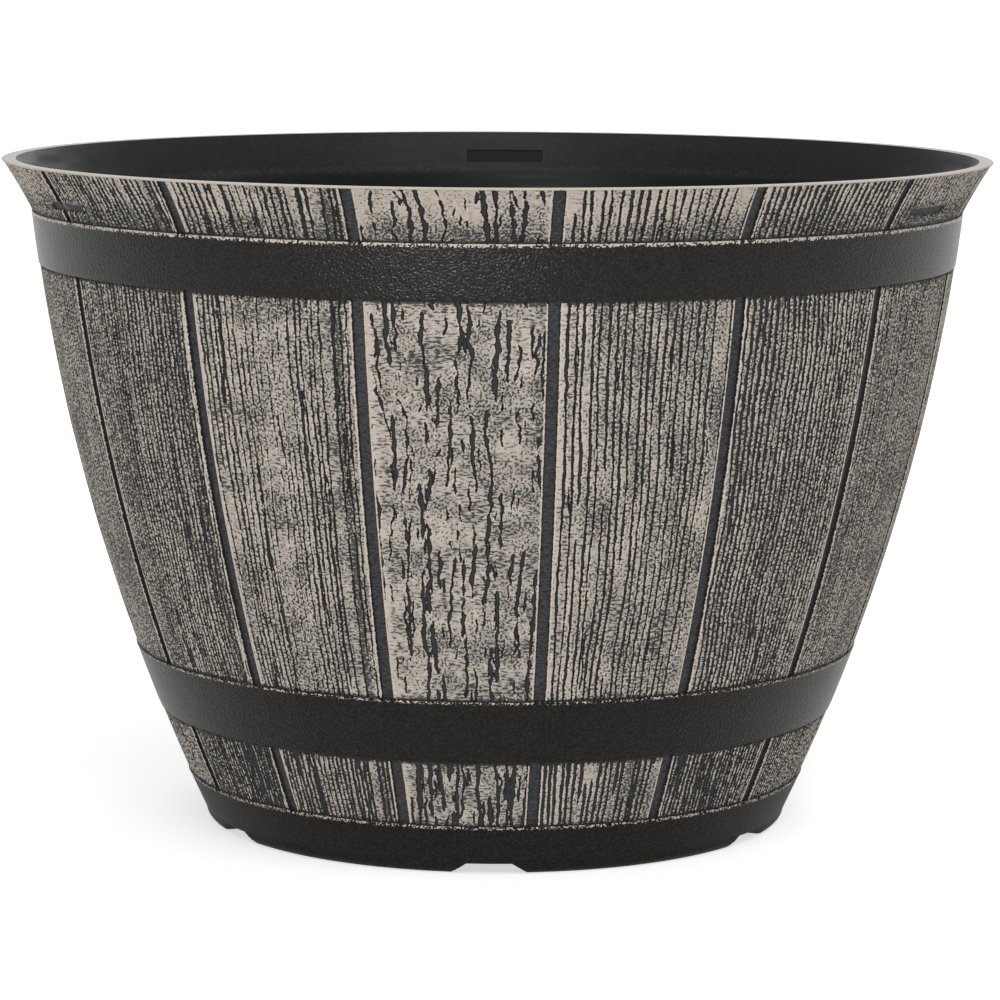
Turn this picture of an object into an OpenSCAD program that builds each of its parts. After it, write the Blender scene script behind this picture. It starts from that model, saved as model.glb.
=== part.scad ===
// Half-barrel planter moulded in resin: a belly-sided tub with sixteen stave faces,
// two hoops, a flared rim and a notched foot, drained through seven plugged holes.
// Millimetres, +Z up, origin at the centre of the ground plane, photographed side at -Y.
// Angles round the barrel run from -Y towards +X.

/* [Barrel wall] */
// Outside diameter of the flared rim
rim_d = 391; // [376:1:430]
// Overall height from the ground to the lip
height = 264; // [240:1:300]
// Diameter of the stave faces at the neck, where the flare begins
neck_d = 367.5; // [340:0.5:374]
// Diameter that the stave faces' curve reaches at the ground
foot_d = 229; // [215:0.5:260]
// How far the belly stands out from a straight taper
belly = 10.5; // [6:0.1:16]
// Height of the flared part of the rim
flare_h = 20.3; // [18:0.1:30]
// How far the flare's outline hollows inwards from a straight line
flare_bow = 0.4; // [0:0.1:1]
// Wall thickness, square to the wall
wall = 3.6; // [3:0.1:5]
// Width of the flat lip
lip_w = 5.6; // [4.4:0.1:8]
// Height of the plain band that closes the grooves below the lip
lip_band = 0.7; // [0.6:0.1:3]
// Rounding of the lip's outer edge
lip_round = 0.4; // [0.2:0.1:0.6]

/* [Staves] */
// Number of stave faces round the barrel
stave_count = 16; // [12:1:20]
// Width of the groove between two stave faces
groove_w = 4.1; // [2:0.1:6]
// Depth of the groove
groove_depth = 1.4; // [0.8:0.1:1.8]
// Angle of the first groove from the photographed side
groove_az = 6.5; // [0:0.5:20]

/* [Hoops] */
// Height of the upper hoop, whose top edge is at the neck
upper_hoop_h = 20.6; // [14:0.1:30]
// Height of the lower hoop
lower_hoop_h = 24.8; // [14:0.1:34]
// Height of the lower hoop's bottom edge above the ground
lower_hoop_z = 46.6; // [36:0.1:80]
// How far the hoops and the foot band stand proud of the stave faces
hoop_proud = 0.3; // [0.2:0.1:1.6]
// Rounding of the hoops' edges
hoop_round = 0.3; // [0.2:0.1:0.9]

/* [Foot and floor] */
// Height of the foot band
foot_h = 19.8; // [16:0.1:30]
// Rounding of the foot band's lower edge
foot_round = 4; // [2:0.1:5]
// Thickness of the foot ring at the ground
foot_ring_w = 6.5; // [6:0.1:10]
// Height of the floor's underside above the ground
floor_z = 6.5; // [5.6:0.1:9]
// Thickness of the floor
floor_t = 3.5; // [2.5:0.1:5]
// Radius of the inside corner between the floor and the wall
floor_fillet = 6; // [3:0.5:10]
// Angle of the first notch from the photographed side
notch_az = -1; // [-10:0.5:10]
// Width of a notch at the ground
notch_w = 29.5; // [18:0.5:36]
// Width of a notch at its top
notch_top_w = 17; // [8:0.5:26]
// Height of a notch
notch_h = 4.2; // [2:0.1:4.5]
// Thickness of the ribs under the floor
rib_t = 2.2; // [1.5:0.1:4]
// Height of the ribs under the floor
rib_h = 3; // [1.5:0.1:4]

/* [Rim pockets] */
// Number of shallow slots moulded into the outside of the flare
slot_count = 3; // [1:1:6]
// Angle of the first slot from the photographed side
slot_az = 60; // [50:1:70]
// Length of a slot
slot_w = 30; // [16:0.5:40]
// Height of a slot
slot_h = 2.5; // [1.5:0.1:4]
// Depth of a slot
slot_depth = 1.2; // [0.6:0.1:1.5]
// Height of a slot's middle above the neck
slot_rise = 6; // [4:0.1:9]
// Length of the bare label pocket inside the back of the rim
label_w = 34.4; // [20:0.1:50]
// Height of the label pocket
label_h = 5.2; // [3:0.1:8]
// Depth of the label pocket
label_depth = 0.7; // [0.3:0.1:1]
// Height of the label pocket's middle above the neck
label_rise = 10; // [8:0.1:13]
// How far the label pocket's middle lies towards +X from the back's
label_shift = 3.3; // [0:0.1:10]

/* [Drain holes and plugs] */
// Bore of a drain hole
drain_d = 14; // [8:0.1:18]
// Distance of the ring of drain holes from the centre
drain_ring_r = 70; // [50:0.5:85]
// Wall of the boss round a drain hole
boss_wall = 3; // [2:0.1:5]
// How far a boss stands below the floor
boss_h = 2.5; // [1:0.1:3.5]
// Gap all round between a plug and its hole
plug_gap = 0.1; // [0.02:0.01:0.1]
// How far the plug's flange reaches past the hole
flange_lip = 4; // [2:0.1:6]
// Thickness of the plug's flange
flange_t = 1.8; // [1.2:0.1:3]
// Wall of the plug's hollow stem
stem_wall = 1.8; // [1:0.1:2.5]
// How far the stem reaches below its hole
stem_reach = 0.8; // [0:0.1:0.9]
// Height of the pull tab on the flange
tab_h = 5; // [3:0.1:8]
// Thickness of the pull tab
tab_t = 2.4; // [1.5:0.1:4]

/* [Hidden] */
$fn = 144;

resin_colour = "#35373a";
paint_colour = "#b3a391";
hoop_colour = "#3c3935";
plug_colour = "#2b2c2e";

rim_r = rim_d / 2;
neck_r = neck_d / 2;
foot_r = foot_d / 2;
neck_z = height - flare_h;
floor_top = floor_z + floor_t;
stem_r = drain_d / 2 - plug_gap;
boss_r = drain_d / 2 + boss_wall;
hole_bottom = floor_z - boss_h;

// The stave faces follow one circular arc from the ground to the neck.
chord = norm([neck_r - foot_r, neck_z]);
arc_r = (chord * chord / 4 + belly * belly) / (2 * belly);
arc_x = (foot_r + neck_r) / 2 - (arc_r - belly) * neck_z / chord;
arc_z = neck_z / 2 + (arc_r - belly) * (neck_r - foot_r) / chord;

ring_holes = 6;   // drain holes round the centre one, each in line with a notch
bury = 0.6;       // how far joined forms run into each other
cut_over = 5;     // how far a cutter runs past what it cuts
belly_steps = 9;  // straight steps that follow the belly in a profile
flare_steps = 3;  // straight steps that follow the flare
round_steps = 4;  // steps in a rounded edge

// Radius of the wall at height z, on a surface set inwards by inset.
function wall_r(z, inset = 0) =
    arc_x + sqrt(pow(arc_r - inset, 2) - pow(z - arc_z, 2));

// Profile of that surface between two heights.
function wall_curve(from, to, inset, steps = belly_steps) =
    [for (i = [0:steps]) let (z = from + (to - from) * i / steps) [wall_r(z, inset), z]];

// Radius of the flare's outer face at height z: a shallow hollow curve.
function flare_r(z) =
    let (share = (z - neck_z) / flare_h)
        neck_r + (rim_r - neck_r) * share - 4 * flare_bow * share * (1 - share);

// Profile of the flare up to the lip's band, on a surface set inwards by inset.
function flare_curve(inset) =
    [for (i = [1:flare_steps]) let (z = neck_z + (flare_h - lip_band) * i / flare_steps)
        [flare_r(z) - inset, z]];

// Radius of the flare's inner face at height z.
function flare_bore_r(z) =
    let (low = wall_r(neck_z, wall)) low + (rim_r - lip_w - low) * (z - neck_z) / flare_h;

// Quarter round of radius r about a centre, from one angle to another.
function quarter(centre, r, from, to) =
    [for (i = [0:round_steps]) let (a = from + (to - from) * i / round_steps)
        centre + r * [cos(a), sin(a)]];

module round_the_barrel(angle) {
    rotate([0, 0, angle]) children();
}

// Tub without its stave faces: wall, flare, lip and floor in one profile.
module tub_core() {
    corner_z = floor_top + floor_fillet;
    corner_r = wall_r(corner_z, wall) - floor_fillet;
    rotate_extrude()
        polygon(concat(
            [[0, floor_z], [wall_r(floor_z, groove_depth) - bury, floor_z]],
            wall_curve(floor_z + bury, neck_z, groove_depth),
            flare_curve(groove_depth),
            [[flare_r(height - lip_band), height - lip_band]],
            quarter([rim_r - lip_round, height - lip_round], lip_round, 0, 90),
            [[rim_r - lip_w, height]],
            [for (i = [belly_steps:-1:0])
                let (z = corner_z + (neck_z - corner_z) * i / belly_steps) [wall_r(z, wall), z]],
            quarter([corner_r, corner_z], floor_fillet, -10, -90),
            [[0, floor_top]]));
}

// Layer that carries the stave faces, from the foot to the band under the lip.
module stave_faces() {
    top_z = height - lip_band;
    in_lip = top_z + lip_band / 2;
    difference() {
        rotate_extrude()
            polygon(concat(
                wall_curve(foot_h - bury, neck_z, 0),
                flare_curve(0),
                [[flare_r(top_z), in_lip], [flare_r(top_z) - groove_depth - bury, in_lip]],
                [for (i = [belly_steps:-1:0])
                    let (z = foot_h - bury + (neck_z - foot_h + bury) * i / belly_steps)
                        [wall_r(z, groove_depth + bury), z]]));
        for (i = [0:stave_count - 1])
            round_the_barrel(groove_az + 360 * i / stave_count)
                translate([-groove_w / 2, -rim_r - cut_over, 0])
                    cube([groove_w, rim_r - foot_r / 2, top_z]);
    }
}

// Flat band standing proud of the staves between two heights, with rounded edges.
module hoop(from, to) {
    low = wall_r(from, -hoop_proud);
    high = wall_r(to, -hoop_proud);
    rotate_extrude()
        polygon(concat(
            [[wall_r(from, groove_depth + bury), from]],
            quarter([low - hoop_round, from + hoop_round], hoop_round, -90, 0),
            [wall_curve(from, to, -hoop_proud, 2)[1]],
            quarter([high - hoop_round, to - hoop_round], hoop_round, 0, 90),
            [[wall_r(to, groove_depth + bury), to]]));
}

// Ring under the wall that stands on the ground.
module foot_ring() {
    face_r = wall_r(foot_round, -hoop_proud);
    difference() {
        rotate_extrude()
            polygon(concat(
                [[foot_r - foot_ring_w, 0]],
                quarter([face_r - foot_round, foot_round], foot_round, -90, 0),
                quarter([wall_r(foot_h, -hoop_proud) - hoop_round, foot_h - hoop_round],
                        hoop_round, 0, 90),
                [[wall_r(foot_h, groove_depth + bury), foot_h],
                 [wall_r(floor_top, wall), floor_top],
                 [foot_r - foot_ring_w, floor_z + bury]]));
        for (i = [0:ring_holes - 1])
            round_the_barrel(notch_az + 360 * i / ring_holes)
                translate([0, -foot_r, 0])
                    rotate([90, 0, 0])
                        linear_extrude(4 * foot_ring_w, center = true)
                            polygon([[-notch_w / 2, -1], [notch_w / 2, -1], [notch_w / 2, 0],
                                     [notch_top_w / 2, notch_h], [-notch_top_w / 2, notch_h],
                                     [-notch_w / 2, 0]]);
    }
}

// Spokes and hole bosses under the floor.
module underside() {
    spoke_l = foot_r - foot_ring_w + bury;
    for (i = [0:ring_holes - 1])
        round_the_barrel(notch_az + 360 * (i + 0.5) / ring_holes)
            translate([-rib_t / 2, -spoke_l, floor_z - rib_h])
                cube([rib_t, spoke_l, rib_h + bury]);
    at_drain_holes()
        translate([0, 0, hole_bottom]) cylinder(r = boss_r, h = boss_h + bury);
}

// Drain hole places: the centre, then one in line with each notch.
module at_drain_holes() {
    children();
    for (i = [0:ring_holes - 1])
        at_ring_hole(i) children();
}

module at_ring_hole(i) {
    round_the_barrel(notch_az + 360 * i / ring_holes)
        translate([0, -drain_ring_r, 0]) children();
}

// Shallow slots low on the outside of the flare.
module rim_slots() {
    slot_z = neck_z + slot_rise;
    difference() {
        for (i = [0:slot_count - 1])
            round_the_barrel(slot_az + 360 * i / slot_count)
                translate([-slot_w / 2, -rim_r - cut_over, slot_z - slot_h / 2])
                    cube([slot_w, rim_r - foot_r, slot_h]);
        cylinder(r = flare_r(slot_z) - slot_depth, h = height);
    }
}

// Pocket left bare for a label, inside the back of the rim.
module label_pocket() {
    label_z = neck_z + label_rise - label_h / 2;
    intersection() {
        translate([label_shift - label_w / 2, foot_r, label_z])
            cube([label_w, rim_r, label_h]);
        translate([0, 0, neck_z])
            cylinder(r1 = flare_bore_r(neck_z) + label_depth,
                     r2 = flare_bore_r(height) + label_depth, h = flare_h);
    }
}

// The whole moulding.
module planter_shell() {
    difference() {
        union() {
            color(resin_colour) tub_core();
            color(paint_colour) stave_faces();
            color(hoop_colour) hoop(neck_z - upper_hoop_h, neck_z);
            color(hoop_colour) hoop(lower_hoop_z, lower_hoop_z + lower_hoop_h);
            color(hoop_colour) foot_ring();
            color(resin_colour) underside();
        }
        color(resin_colour) rim_slots();
        color(resin_colour) label_pocket();
        at_drain_holes()
            translate([0, 0, hole_bottom - 1]) cylinder(d = drain_d, h = floor_top);
    }
}

// Push-in plug: a domed flange on the floor, a hollow stem in the hole and a pull tab.
module drain_plug() {
    flange_r = drain_d / 2 + flange_lip;
    stem_z = hole_bottom - stem_reach;
    edge = flange_t / 2;
    color(plug_colour) union() {
        rotate_extrude()
            polygon([[0, floor_top + flange_t], [flange_r - 2 * edge, floor_top + flange_t],
                     [flange_r, floor_top + edge], [flange_r, floor_top],
                     [stem_r, floor_top], [stem_r, stem_z + edge], [stem_r - edge, stem_z],
                     [stem_r - stem_wall, stem_z], [stem_r - stem_wall, floor_top],
                     [0, floor_top]]);
        translate([0, tab_t / 2, floor_top + flange_t])
            rotate([90, 0, 0])
                linear_extrude(tab_t)
                    intersection() {
                        circle(r = tab_h);
                        translate([-tab_h, -bury]) square([2 * tab_h, tab_h + bury]);
                    }
    }
}

module centre_drain_plug() drain_plug();
module front_drain_plug() at_ring_hole(0) drain_plug();
module front_right_drain_plug() at_ring_hole(1) drain_plug();
module back_right_drain_plug() at_ring_hole(2) drain_plug();
module back_drain_plug() at_ring_hole(3) drain_plug();
module back_left_drain_plug() at_ring_hole(4) drain_plug();
module front_left_drain_plug() at_ring_hole(5) drain_plug();

planter_shell();
centre_drain_plug();
front_drain_plug();
front_right_drain_plug();
back_right_drain_plug();
back_drain_plug();
back_left_drain_plug();
front_left_drain_plug();
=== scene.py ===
"""A half-barrel planter moulded in resin, with a brushed wood-effect finish.

The sections follow the object as it is put together: the tub, its floor and spokes, the stave
faces, the lip, the hoops, the foot band and the drain plugs. The studio and the camera follow.

Sizes are in millimetres, and make_piece() writes them into each mesh as metres. Angles round
the barrel run from the photographed side, which faces -Y, towards +X.
"""

import functools
import math

import bpy
import numpy as np
from mathutils import Matrix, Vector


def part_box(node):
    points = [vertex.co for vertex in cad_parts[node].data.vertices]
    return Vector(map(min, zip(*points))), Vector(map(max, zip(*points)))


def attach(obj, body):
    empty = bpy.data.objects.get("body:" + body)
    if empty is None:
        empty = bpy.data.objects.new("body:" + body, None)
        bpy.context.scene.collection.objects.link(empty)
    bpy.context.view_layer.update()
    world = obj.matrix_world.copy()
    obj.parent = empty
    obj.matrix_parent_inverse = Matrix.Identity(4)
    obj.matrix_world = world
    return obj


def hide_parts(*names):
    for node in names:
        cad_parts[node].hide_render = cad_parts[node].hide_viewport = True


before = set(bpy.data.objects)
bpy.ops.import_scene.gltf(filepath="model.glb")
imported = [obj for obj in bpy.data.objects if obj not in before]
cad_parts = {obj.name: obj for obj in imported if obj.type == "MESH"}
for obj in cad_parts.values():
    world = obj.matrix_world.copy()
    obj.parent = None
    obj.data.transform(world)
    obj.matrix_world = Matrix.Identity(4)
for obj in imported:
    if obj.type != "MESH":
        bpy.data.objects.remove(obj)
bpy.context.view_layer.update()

# ---- Tub wall ------------------------------------------
# The belly wall and flared rim of the one-piece tub, injection moulded in charcoal polypropylene.
# It is smooth inside, with a shallow label pocket sunk into the back of the rim, and outside it
# shows only as the floors of the grooves between the stave faces.
MM = 0.001
shell_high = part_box("planter_shell")[1]
rim_r = round(shell_high.x / MM, 1)
height = round(shell_high.z / MM, 1)
flare_out = 11.75          # from the neck out to the rim
foot_in = 81.0             # from the rim in to the foot
flare_h = 20.3
flare_bow = 0.4
belly = 10.5               # how far the wall bows out from a line between foot and neck
wall_t = 3.6
wall_seat = 6.0            # how far inside the foot's radius the wall's lower end lies
lip_w, lip_band = 5.6, 0.7
lip_seat, lip_skin = 2.6, 0.12             # the tub's top edge, in from the lip's and below it
groove_depth = 1.4
floor_z, floor_t = 6.5, 3.5
floor_fillet = 6.0
flare_root = 4.3           # height of the bend inside above the neck outside
bend_reach, bend_ease = 3, 0.4             # the bend's rounding, up and down the wall and across it
label_w, label_depth = 34.4, 0.7
label_bottom, label_top = 7.4, 12.6        # above the neck
label_shift = 3.3          # along the wall, towards +X
ring_steps = 384

neck_r = rim_r - flare_out
foot_r = rim_r - foot_in
neck_z = height - flare_h
bore_neck_z = neck_z + flare_root
stave_top = height - lip_band
floor_top = floor_z + floor_t
label_low, label_high = neck_z + label_bottom, neck_z + label_top
label_turn = math.pi - label_shift / (rim_r - lip_w)
chord = math.hypot(neck_r - foot_r, neck_z)
arc_r = (chord ** 2 / 4 + belly ** 2) / (2 * belly)
arc_x = (foot_r + neck_r) / 2 - (arc_r - belly) * neck_z / chord
arc_z = neck_z / 2 + (arc_r - belly) * (neck_r - foot_r) / chord


def wall_radius(z, inset=0.0):
    """Radius of the belly at height z: a circle of radius arc_r, less the inset, seen in section."""
    return arc_x + np.sqrt((arc_r - inset) ** 2 - (z - arc_z) ** 2)


def flare_radius(z):
    """Radius of the flare's outer face: a line from the neck to the rim, less a parabola that
    hollows it by flare_bow halfway."""
    share = (z - neck_z) / flare_h
    return neck_r + (rim_r - neck_r) * share - 4 * flare_bow * share * (1 - share)


def outer_radius(z, inset=0.0):
    """Radius of the outer face at height z, on the belly below the neck and the flare above it."""
    return np.where(z < neck_z, wall_radius(np.minimum(z, neck_z), inset), flare_radius(z) - inset)


def bore_radius(z):
    """Radius of the inner face: the belly set in by the wall, then straight out to the lip. Its
    bend stands a little above the outer neck, because the flare is thicker at its root."""
    low = wall_radius(bore_neck_z, wall_t)
    flared = low + (rim_r - lip_w - low) * (z - bore_neck_z) / (height - bore_neck_z)
    return np.where(z < bore_neck_z, wall_radius(np.minimum(z, bore_neck_z), wall_t), flared)


def arc_points(centre, radius, start, end, steps=6):
    """Points on a circle about centre from one angle in degrees to another, as (radius, height)."""
    turn = np.radians(np.linspace(start, end, steps + 1))
    return np.stack([centre[0] + radius * np.cos(turn), centre[1] + radius * np.sin(turn)], -1)


def smooth_step(value, low, high):
    """0 below low, 1 above high and an S-curve between."""
    share = np.clip((value - low) / (high - low), 0, 1)
    return share * share * (3 - 2 * share)


def around(radius, angle, z):
    """Points at a radius, an angle in radians round the barrel and a height."""
    return np.stack(np.broadcast_arrays(radius * np.sin(angle), -radius * np.cos(angle), z), -1)


def grid_triangles(ids):
    """Two triangles for each cell of a grid of vertex numbers, facing a viewer who sees the
    columns run to the right and the rows run up."""
    a, b, c, d = ids[:-1, :-1], ids[:-1, 1:], ids[1:, 1:], ids[1:, :-1]
    return np.concatenate([np.stack(t, -1).reshape(-1, 3) for t in ((a, b, c), (a, c, d))])


def round_ids(shape, ring=False):
    """Vertex numbers of a grid that closes on itself: the first column is repeated after the
    last and, in a ring, the first row too."""
    ids = np.arange(math.prod(shape)).reshape(shape)
    return np.pad(ids, ((0, int(ring)), (0, 1)), mode="wrap")


def turned(outline, angles):
    """A closed outline of (radius, height) points, anticlockwise, carried once round the z axis:
    each point is repeated at every angle. Returns the grid of points and the triangles."""
    points = around(outline[:, :1], angles, outline[:, 1:])
    return points, grid_triangles(round_ids(points.shape[:2], ring=True))


def make_piece(name, points, triangles, material, slot, body="planter", node="planter_shell",
               values=None, uv=None, crease=40.0):
    """Makes a piece from points in millimetres and triangles. values holds one number per point
    for each attribute name, uv one pair per point, and edges sharper than crease stay sharp."""
    points = points.reshape(-1, 3)
    mesh = bpy.data.meshes.new(name)
    mesh.vertices.add(len(points))
    mesh.vertices.foreach_set("co", (points * MM).ravel().astype(np.float32))
    mesh.loops.add(triangles.size)
    mesh.loops.foreach_set("vertex_index", triangles.ravel().astype(np.int32))
    mesh.polygons.add(len(triangles))
    mesh.polygons.foreach_set("loop_start", np.arange(0, triangles.size, 3, dtype=np.int32))
    mesh.update(calc_edges=True)
    for label, numbers in (values or {}).items():
        attribute = mesh.attributes.new(label, "FLOAT", "POINT")
        attribute.data.foreach_set("value", numbers.ravel().astype(np.float32))
    if uv is not None:
        layer = mesh.uv_layers.new(name="grain_mm")
        layer.data.foreach_set("uv", uv.reshape(-1, 2)[triangles.ravel()].ravel().astype(np.float32))
    mesh.shade_smooth()
    mesh.set_sharp_from_angle(angle=math.radians(crease))
    mesh.materials.append(material)
    piece = bpy.data.objects.new(name, mesh)
    bpy.context.scene.collection.objects.link(piece)
    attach(piece, body)
    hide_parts(node)


def srgb(code):
    """A colour written as #rrggbb, turned to the linear values that a shader takes."""
    parts = np.array([int(code[i:i + 2], 16) for i in (1, 3, 5)]) / 255
    linear = np.where(parts <= 0.04045, parts / 12.92, ((parts + 0.055) / 1.055) ** 2.4)
    return (*linear.tolist(), 1.0)


def add_node(owner, kind, inputs, **settings):
    """Adds a shader node to a material or a world, makes its settings and fills its inputs: a
    socket is linked, a node is linked by its first working output, and a value is set."""
    node = owner.node_tree.nodes.new("ShaderNode" + kind)
    for label, value in settings.items():
        setattr(node, label, value)
    for label, value in inputs.items():
        if isinstance(value, bpy.types.Node):
            value = next(socket for socket in value.outputs if socket.enabled)
        if isinstance(value, bpy.types.NodeSocket):
            owner.node_tree.links.new(value, node.inputs[label])
        else:
            node.inputs[label].default_value = value
    return node


def new_material(name):
    """A material with an empty node tree, and add_node() made ready for it."""
    material = bpy.data.materials.new(name)
    material.use_nodes = True
    material.node_tree.nodes.clear()
    return material, functools.partial(add_node, material)


RESIN = srgb("#171818")
RESIN_WORN = srgb("#202122")
# A grey for the brush's haze in the grooves, also painted inside as sheen over the flare and a highlight
# along the bend.
DUST_AND_SHEEN_GREY = srgb("#3b3c3e")
SPARK_GRAIN = 0.35         # mm, the pitch of the satin texture that the mould's sparked steel leaves
# The haze's mottling also carries the painted sheen inside.
WIPE = (1.6, 1.6, 0.6)     # mm, the pitch of the haze, drawn out round the tub
FLOW = (45, 45, 6)         # mm, the pitch of the cloudy bands where the melt flowed round


def moulded_charcoal_resin():
    """Charcoal polypropylene, injection moulded against spark-textured steel: an even satin
    black with a faint grain, in the grooves a grey haze that the brush has left, and inside a
    painted sheen over the flare and a painted highlight along the bend."""
    material, add = new_material("moulded_charcoal_resin")
    place = add("TexCoord", {}).outputs["Object"]
    dust_and_sheen, matt = (add("Attribute", {}, attribute_name=label).outputs["Fac"]
                  for label in ("dust_and_sheen", "matt"))
    wipe, cloud = (
        add("TexNoise", {
            "Vector": add("Mapping", {"Vector": place, "Scale": [1 / (mm * MM) for mm in pitch]}),
            "Scale": 1.0, "Detail": 3.0, "Roughness": 0.6})
        for pitch in (WIPE, FLOW))
    # The groove haze and the painted sheen inside, mottled.
    mottled = add("MapRange", {"Value": wipe, "From Min": 0.38, "From Max": 0.68, "To Min": -0.1,
                            "To Max": 1.5}, clamp=False)
    dust_and_sheen_mottled = add("Math", {0: dust_and_sheen, 1: mottled}, operation="MULTIPLY")
    grain = add("TexNoise", {"Vector": place, "Scale": 1 / (SPARK_GRAIN * MM), "Roughness": 0.6})
    clean = add("Mix", {0: cloud, 6: RESIN, 7: RESIN_WORN}, data_type="RGBA")
    colour = add("Mix", {0: dust_and_sheen_mottled, 6: clean, 7: DUST_AND_SHEEN_GREY}, data_type="RGBA")
    gloss = add("MapRange", {"Value": cloud, "From Min": 0.35, "From Max": 0.65, "To Min": 0.36,
                             "To Max": 0.54})
    etched = add("Math", {0: matt, 1: 0.35, 2: gloss}, operation="MULTIPLY_ADD")
    bump = add("Bump", {"Height": grain, "Strength": 0.5, "Distance": 0.05 * MM})
    surface = add("BsdfPrincipled", {
        "Base Color": colour, "Roughness": etched, "IOR": 1.49, "Specular IOR Level": 0.18,
        "Normal": bump})
    add("OutputMaterial", {"Surface": surface})
    return material


resin = moulded_charcoal_resin()

# The outline runs up the groove floors, under the lip, down the bore past the pocket and the
# bend, and round the corner to the floor.
corner_z = floor_top + floor_fillet
corner_r = wall_radius(corner_z, wall_t) - floor_fillet
under_lip = height - lip_skin
outside_z = np.concatenate([np.linspace(floor_z, neck_z, 40),
                            np.linspace(neck_z, stave_top - 0.01, 7)[1:]])
inside_z = np.unique(np.concatenate([
    np.linspace(corner_z, bore_neck_z - bend_reach, 36),
    np.linspace(bore_neck_z - 2, bore_neck_z + 2, 5),
    [label_low, label_low + 0.15, label_high - 0.15, label_high],
    np.linspace(bore_neck_z + bend_reach, height - 0.5, 8)]))[::-1]
ease = np.clip(1 - np.abs(inside_z - bore_neck_z) / bend_reach, 0, 1) ** 2 * bend_ease
tub_outline = np.concatenate([
    [[foot_r - wall_seat, floor_z]],
    np.stack([outer_radius(outside_z, groove_depth), outside_z], -1),
    [[rim_r - lip_seat + 0.2, stave_top + 0.2], [rim_r - lip_seat, under_lip],
     [rim_r - lip_w, under_lip]],
    np.stack([bore_radius(inside_z) + ease, inside_z], -1),
    arc_points((corner_r, corner_z), floor_fillet, -8, -90)])
label_edge = math.asin(label_w / 2 / (rim_r - lip_w))
ring_angles = np.linspace(0, math.tau, ring_steps, endpoint=False)
label_turns = label_turn + np.outer([-1, 1], [label_edge, label_edge - 0.001])
tub_angles = np.unique(np.append(ring_angles, label_turns))
tub_points, tub_triangles = turned(tub_outline, tub_angles)

tub_r, tub_z = tub_outline.T
inner_rows = tub_r < outer_radius(tub_z) - 2.5
sunk_rows = inner_rows & (tub_z > label_low + 0.1) & (tub_z < label_high - 0.1)
sunk = sunk_rows[:, None] & (np.abs(tub_angles - label_turn) < label_edge - 0.0005)[None, :]
tub_points[..., 1] += label_depth * sunk

# Haze and painted light: the brush's haze full in the grooves, and inside a faint painted sheen
# on the flare and a painted highlight along the bend.
outside = tub_r > outer_radius(tub_z, groove_depth + 0.5)
flare_sheen, bend_sheen, bend_line = 0.20, 0.45, 1.3
painted_sheen = inner_rows * (flare_sheen * smooth_step(tub_z, bore_neck_z - 1, bore_neck_z + 1)
                        + bend_sheen * np.exp(-((tub_z - bore_neck_z) / bend_line) ** 2))
dust_and_sheen = np.broadcast_to((outside + painted_sheen)[:, None], tub_points.shape[:2])
make_piece("tub_wall", tub_points, tub_triangles, resin, "charcoal_resin",
           values={"dust_and_sheen": dust_and_sheen * ~sunk, "matt": 1.0 * sunk})

# ---- Floor ---------------------------------------------
# The tub's floor, moulded with the wall in the same charcoal resin. Seven drain holes go
# through it, one in the centre and one in line with each notch of the foot, and a boss
# stiffens each hole from below.
hole_count = 6
first_notch = math.radians(-1.0)
drain_r = 7.0
drain_ring_r = 70.0
boss_r, boss_h = drain_r + 3.0, 2.5
floor_tuck = 1.5           # how far the floor's rim runs into the corner's round
edge_break = 0.3
hub_r = drain_ring_r / 2
floor_r = corner_r + floor_tuck
half_sector = math.pi / hole_count
hole_angles = first_notch + math.tau * np.arange(hole_count) / hole_count


def weld(points, triangles):
    """Makes points that lie within a ten-thousandth of a millimetre one, and drops triangles
    that this leaves without an area."""
    points = points.reshape(-1, 3)
    _, first, same = np.unique(
        np.round(points * 1e4).astype(np.int64), axis=0, return_index=True, return_inverse=True)
    triangles = same.reshape(-1)[triangles]
    a, b, c = triangles.T
    return points[first], triangles[(a != b) & (b != c) & (c != a)]


def joined(parts):
    """Several (points, triangles) pairs as one."""
    starts = np.cumsum([0] + [points[..., 0].size for points, _ in parts])
    return (np.concatenate([points.reshape(-1, 3) for points, _ in parts]),
            np.concatenate([triangles + start for (_, triangles), start in zip(parts, starts)]))


def sector_reach(turn):
    """Distance from a ring hole's centre, in each direction, to the edge of the hole's own
    sixth of the floor: the floor's rim, the hub's circle, or the line midway to the next hole."""
    out = np.cos(turn)
    rim = -drain_ring_r * out + np.sqrt((drain_ring_r * out) ** 2 + floor_r ** 2 - drain_ring_r ** 2)
    inner = (drain_ring_r * out) ** 2 - drain_ring_r ** 2 + hub_r ** 2
    hub = np.where((inner > 0) & (out < 0), -drain_ring_r * out - np.sqrt(np.maximum(inner, 0)), 1e9)
    towards = np.abs(np.sin(turn)) * math.cos(half_sector) - out * math.sin(half_sector)
    midway = drain_ring_r * math.sin(half_sector) / np.maximum(towards, 1e-6)
    return np.minimum(np.minimum(rim, hub), np.where(towards > 1e-6, midway, 1e9))


def holed_plate(edge, turn, steps=5):
    """A plate from a hole out to an edge, top and underside in one sheet: from the edge's
    underside in to the boss, down and up through the bore, and out over the top."""
    share = np.linspace(1, 0, steps + 1)[:, None]
    spread = boss_r + (edge - boss_r) * share
    boss_z = floor_z - boss_h
    boss = np.array([[boss_r, boss_z + 0.5], [boss_r - 0.5, boss_z],
                     [drain_r + edge_break, boss_z], [drain_r, boss_z + edge_break],
                     [drain_r, floor_top - edge_break], [drain_r + edge_break, floor_top],
                     [boss_r, floor_top]])
    radius = np.concatenate([spread, np.repeat(boss[:, :1], len(turn), 1), spread[::-1][1:]])
    z = np.concatenate([np.full(steps + 1, floor_z), boss[:, 1], np.full(steps, floor_top)])
    return radius, z[:, None], grid_triangles(round_ids(radius.shape)[:, ::-1])


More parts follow.
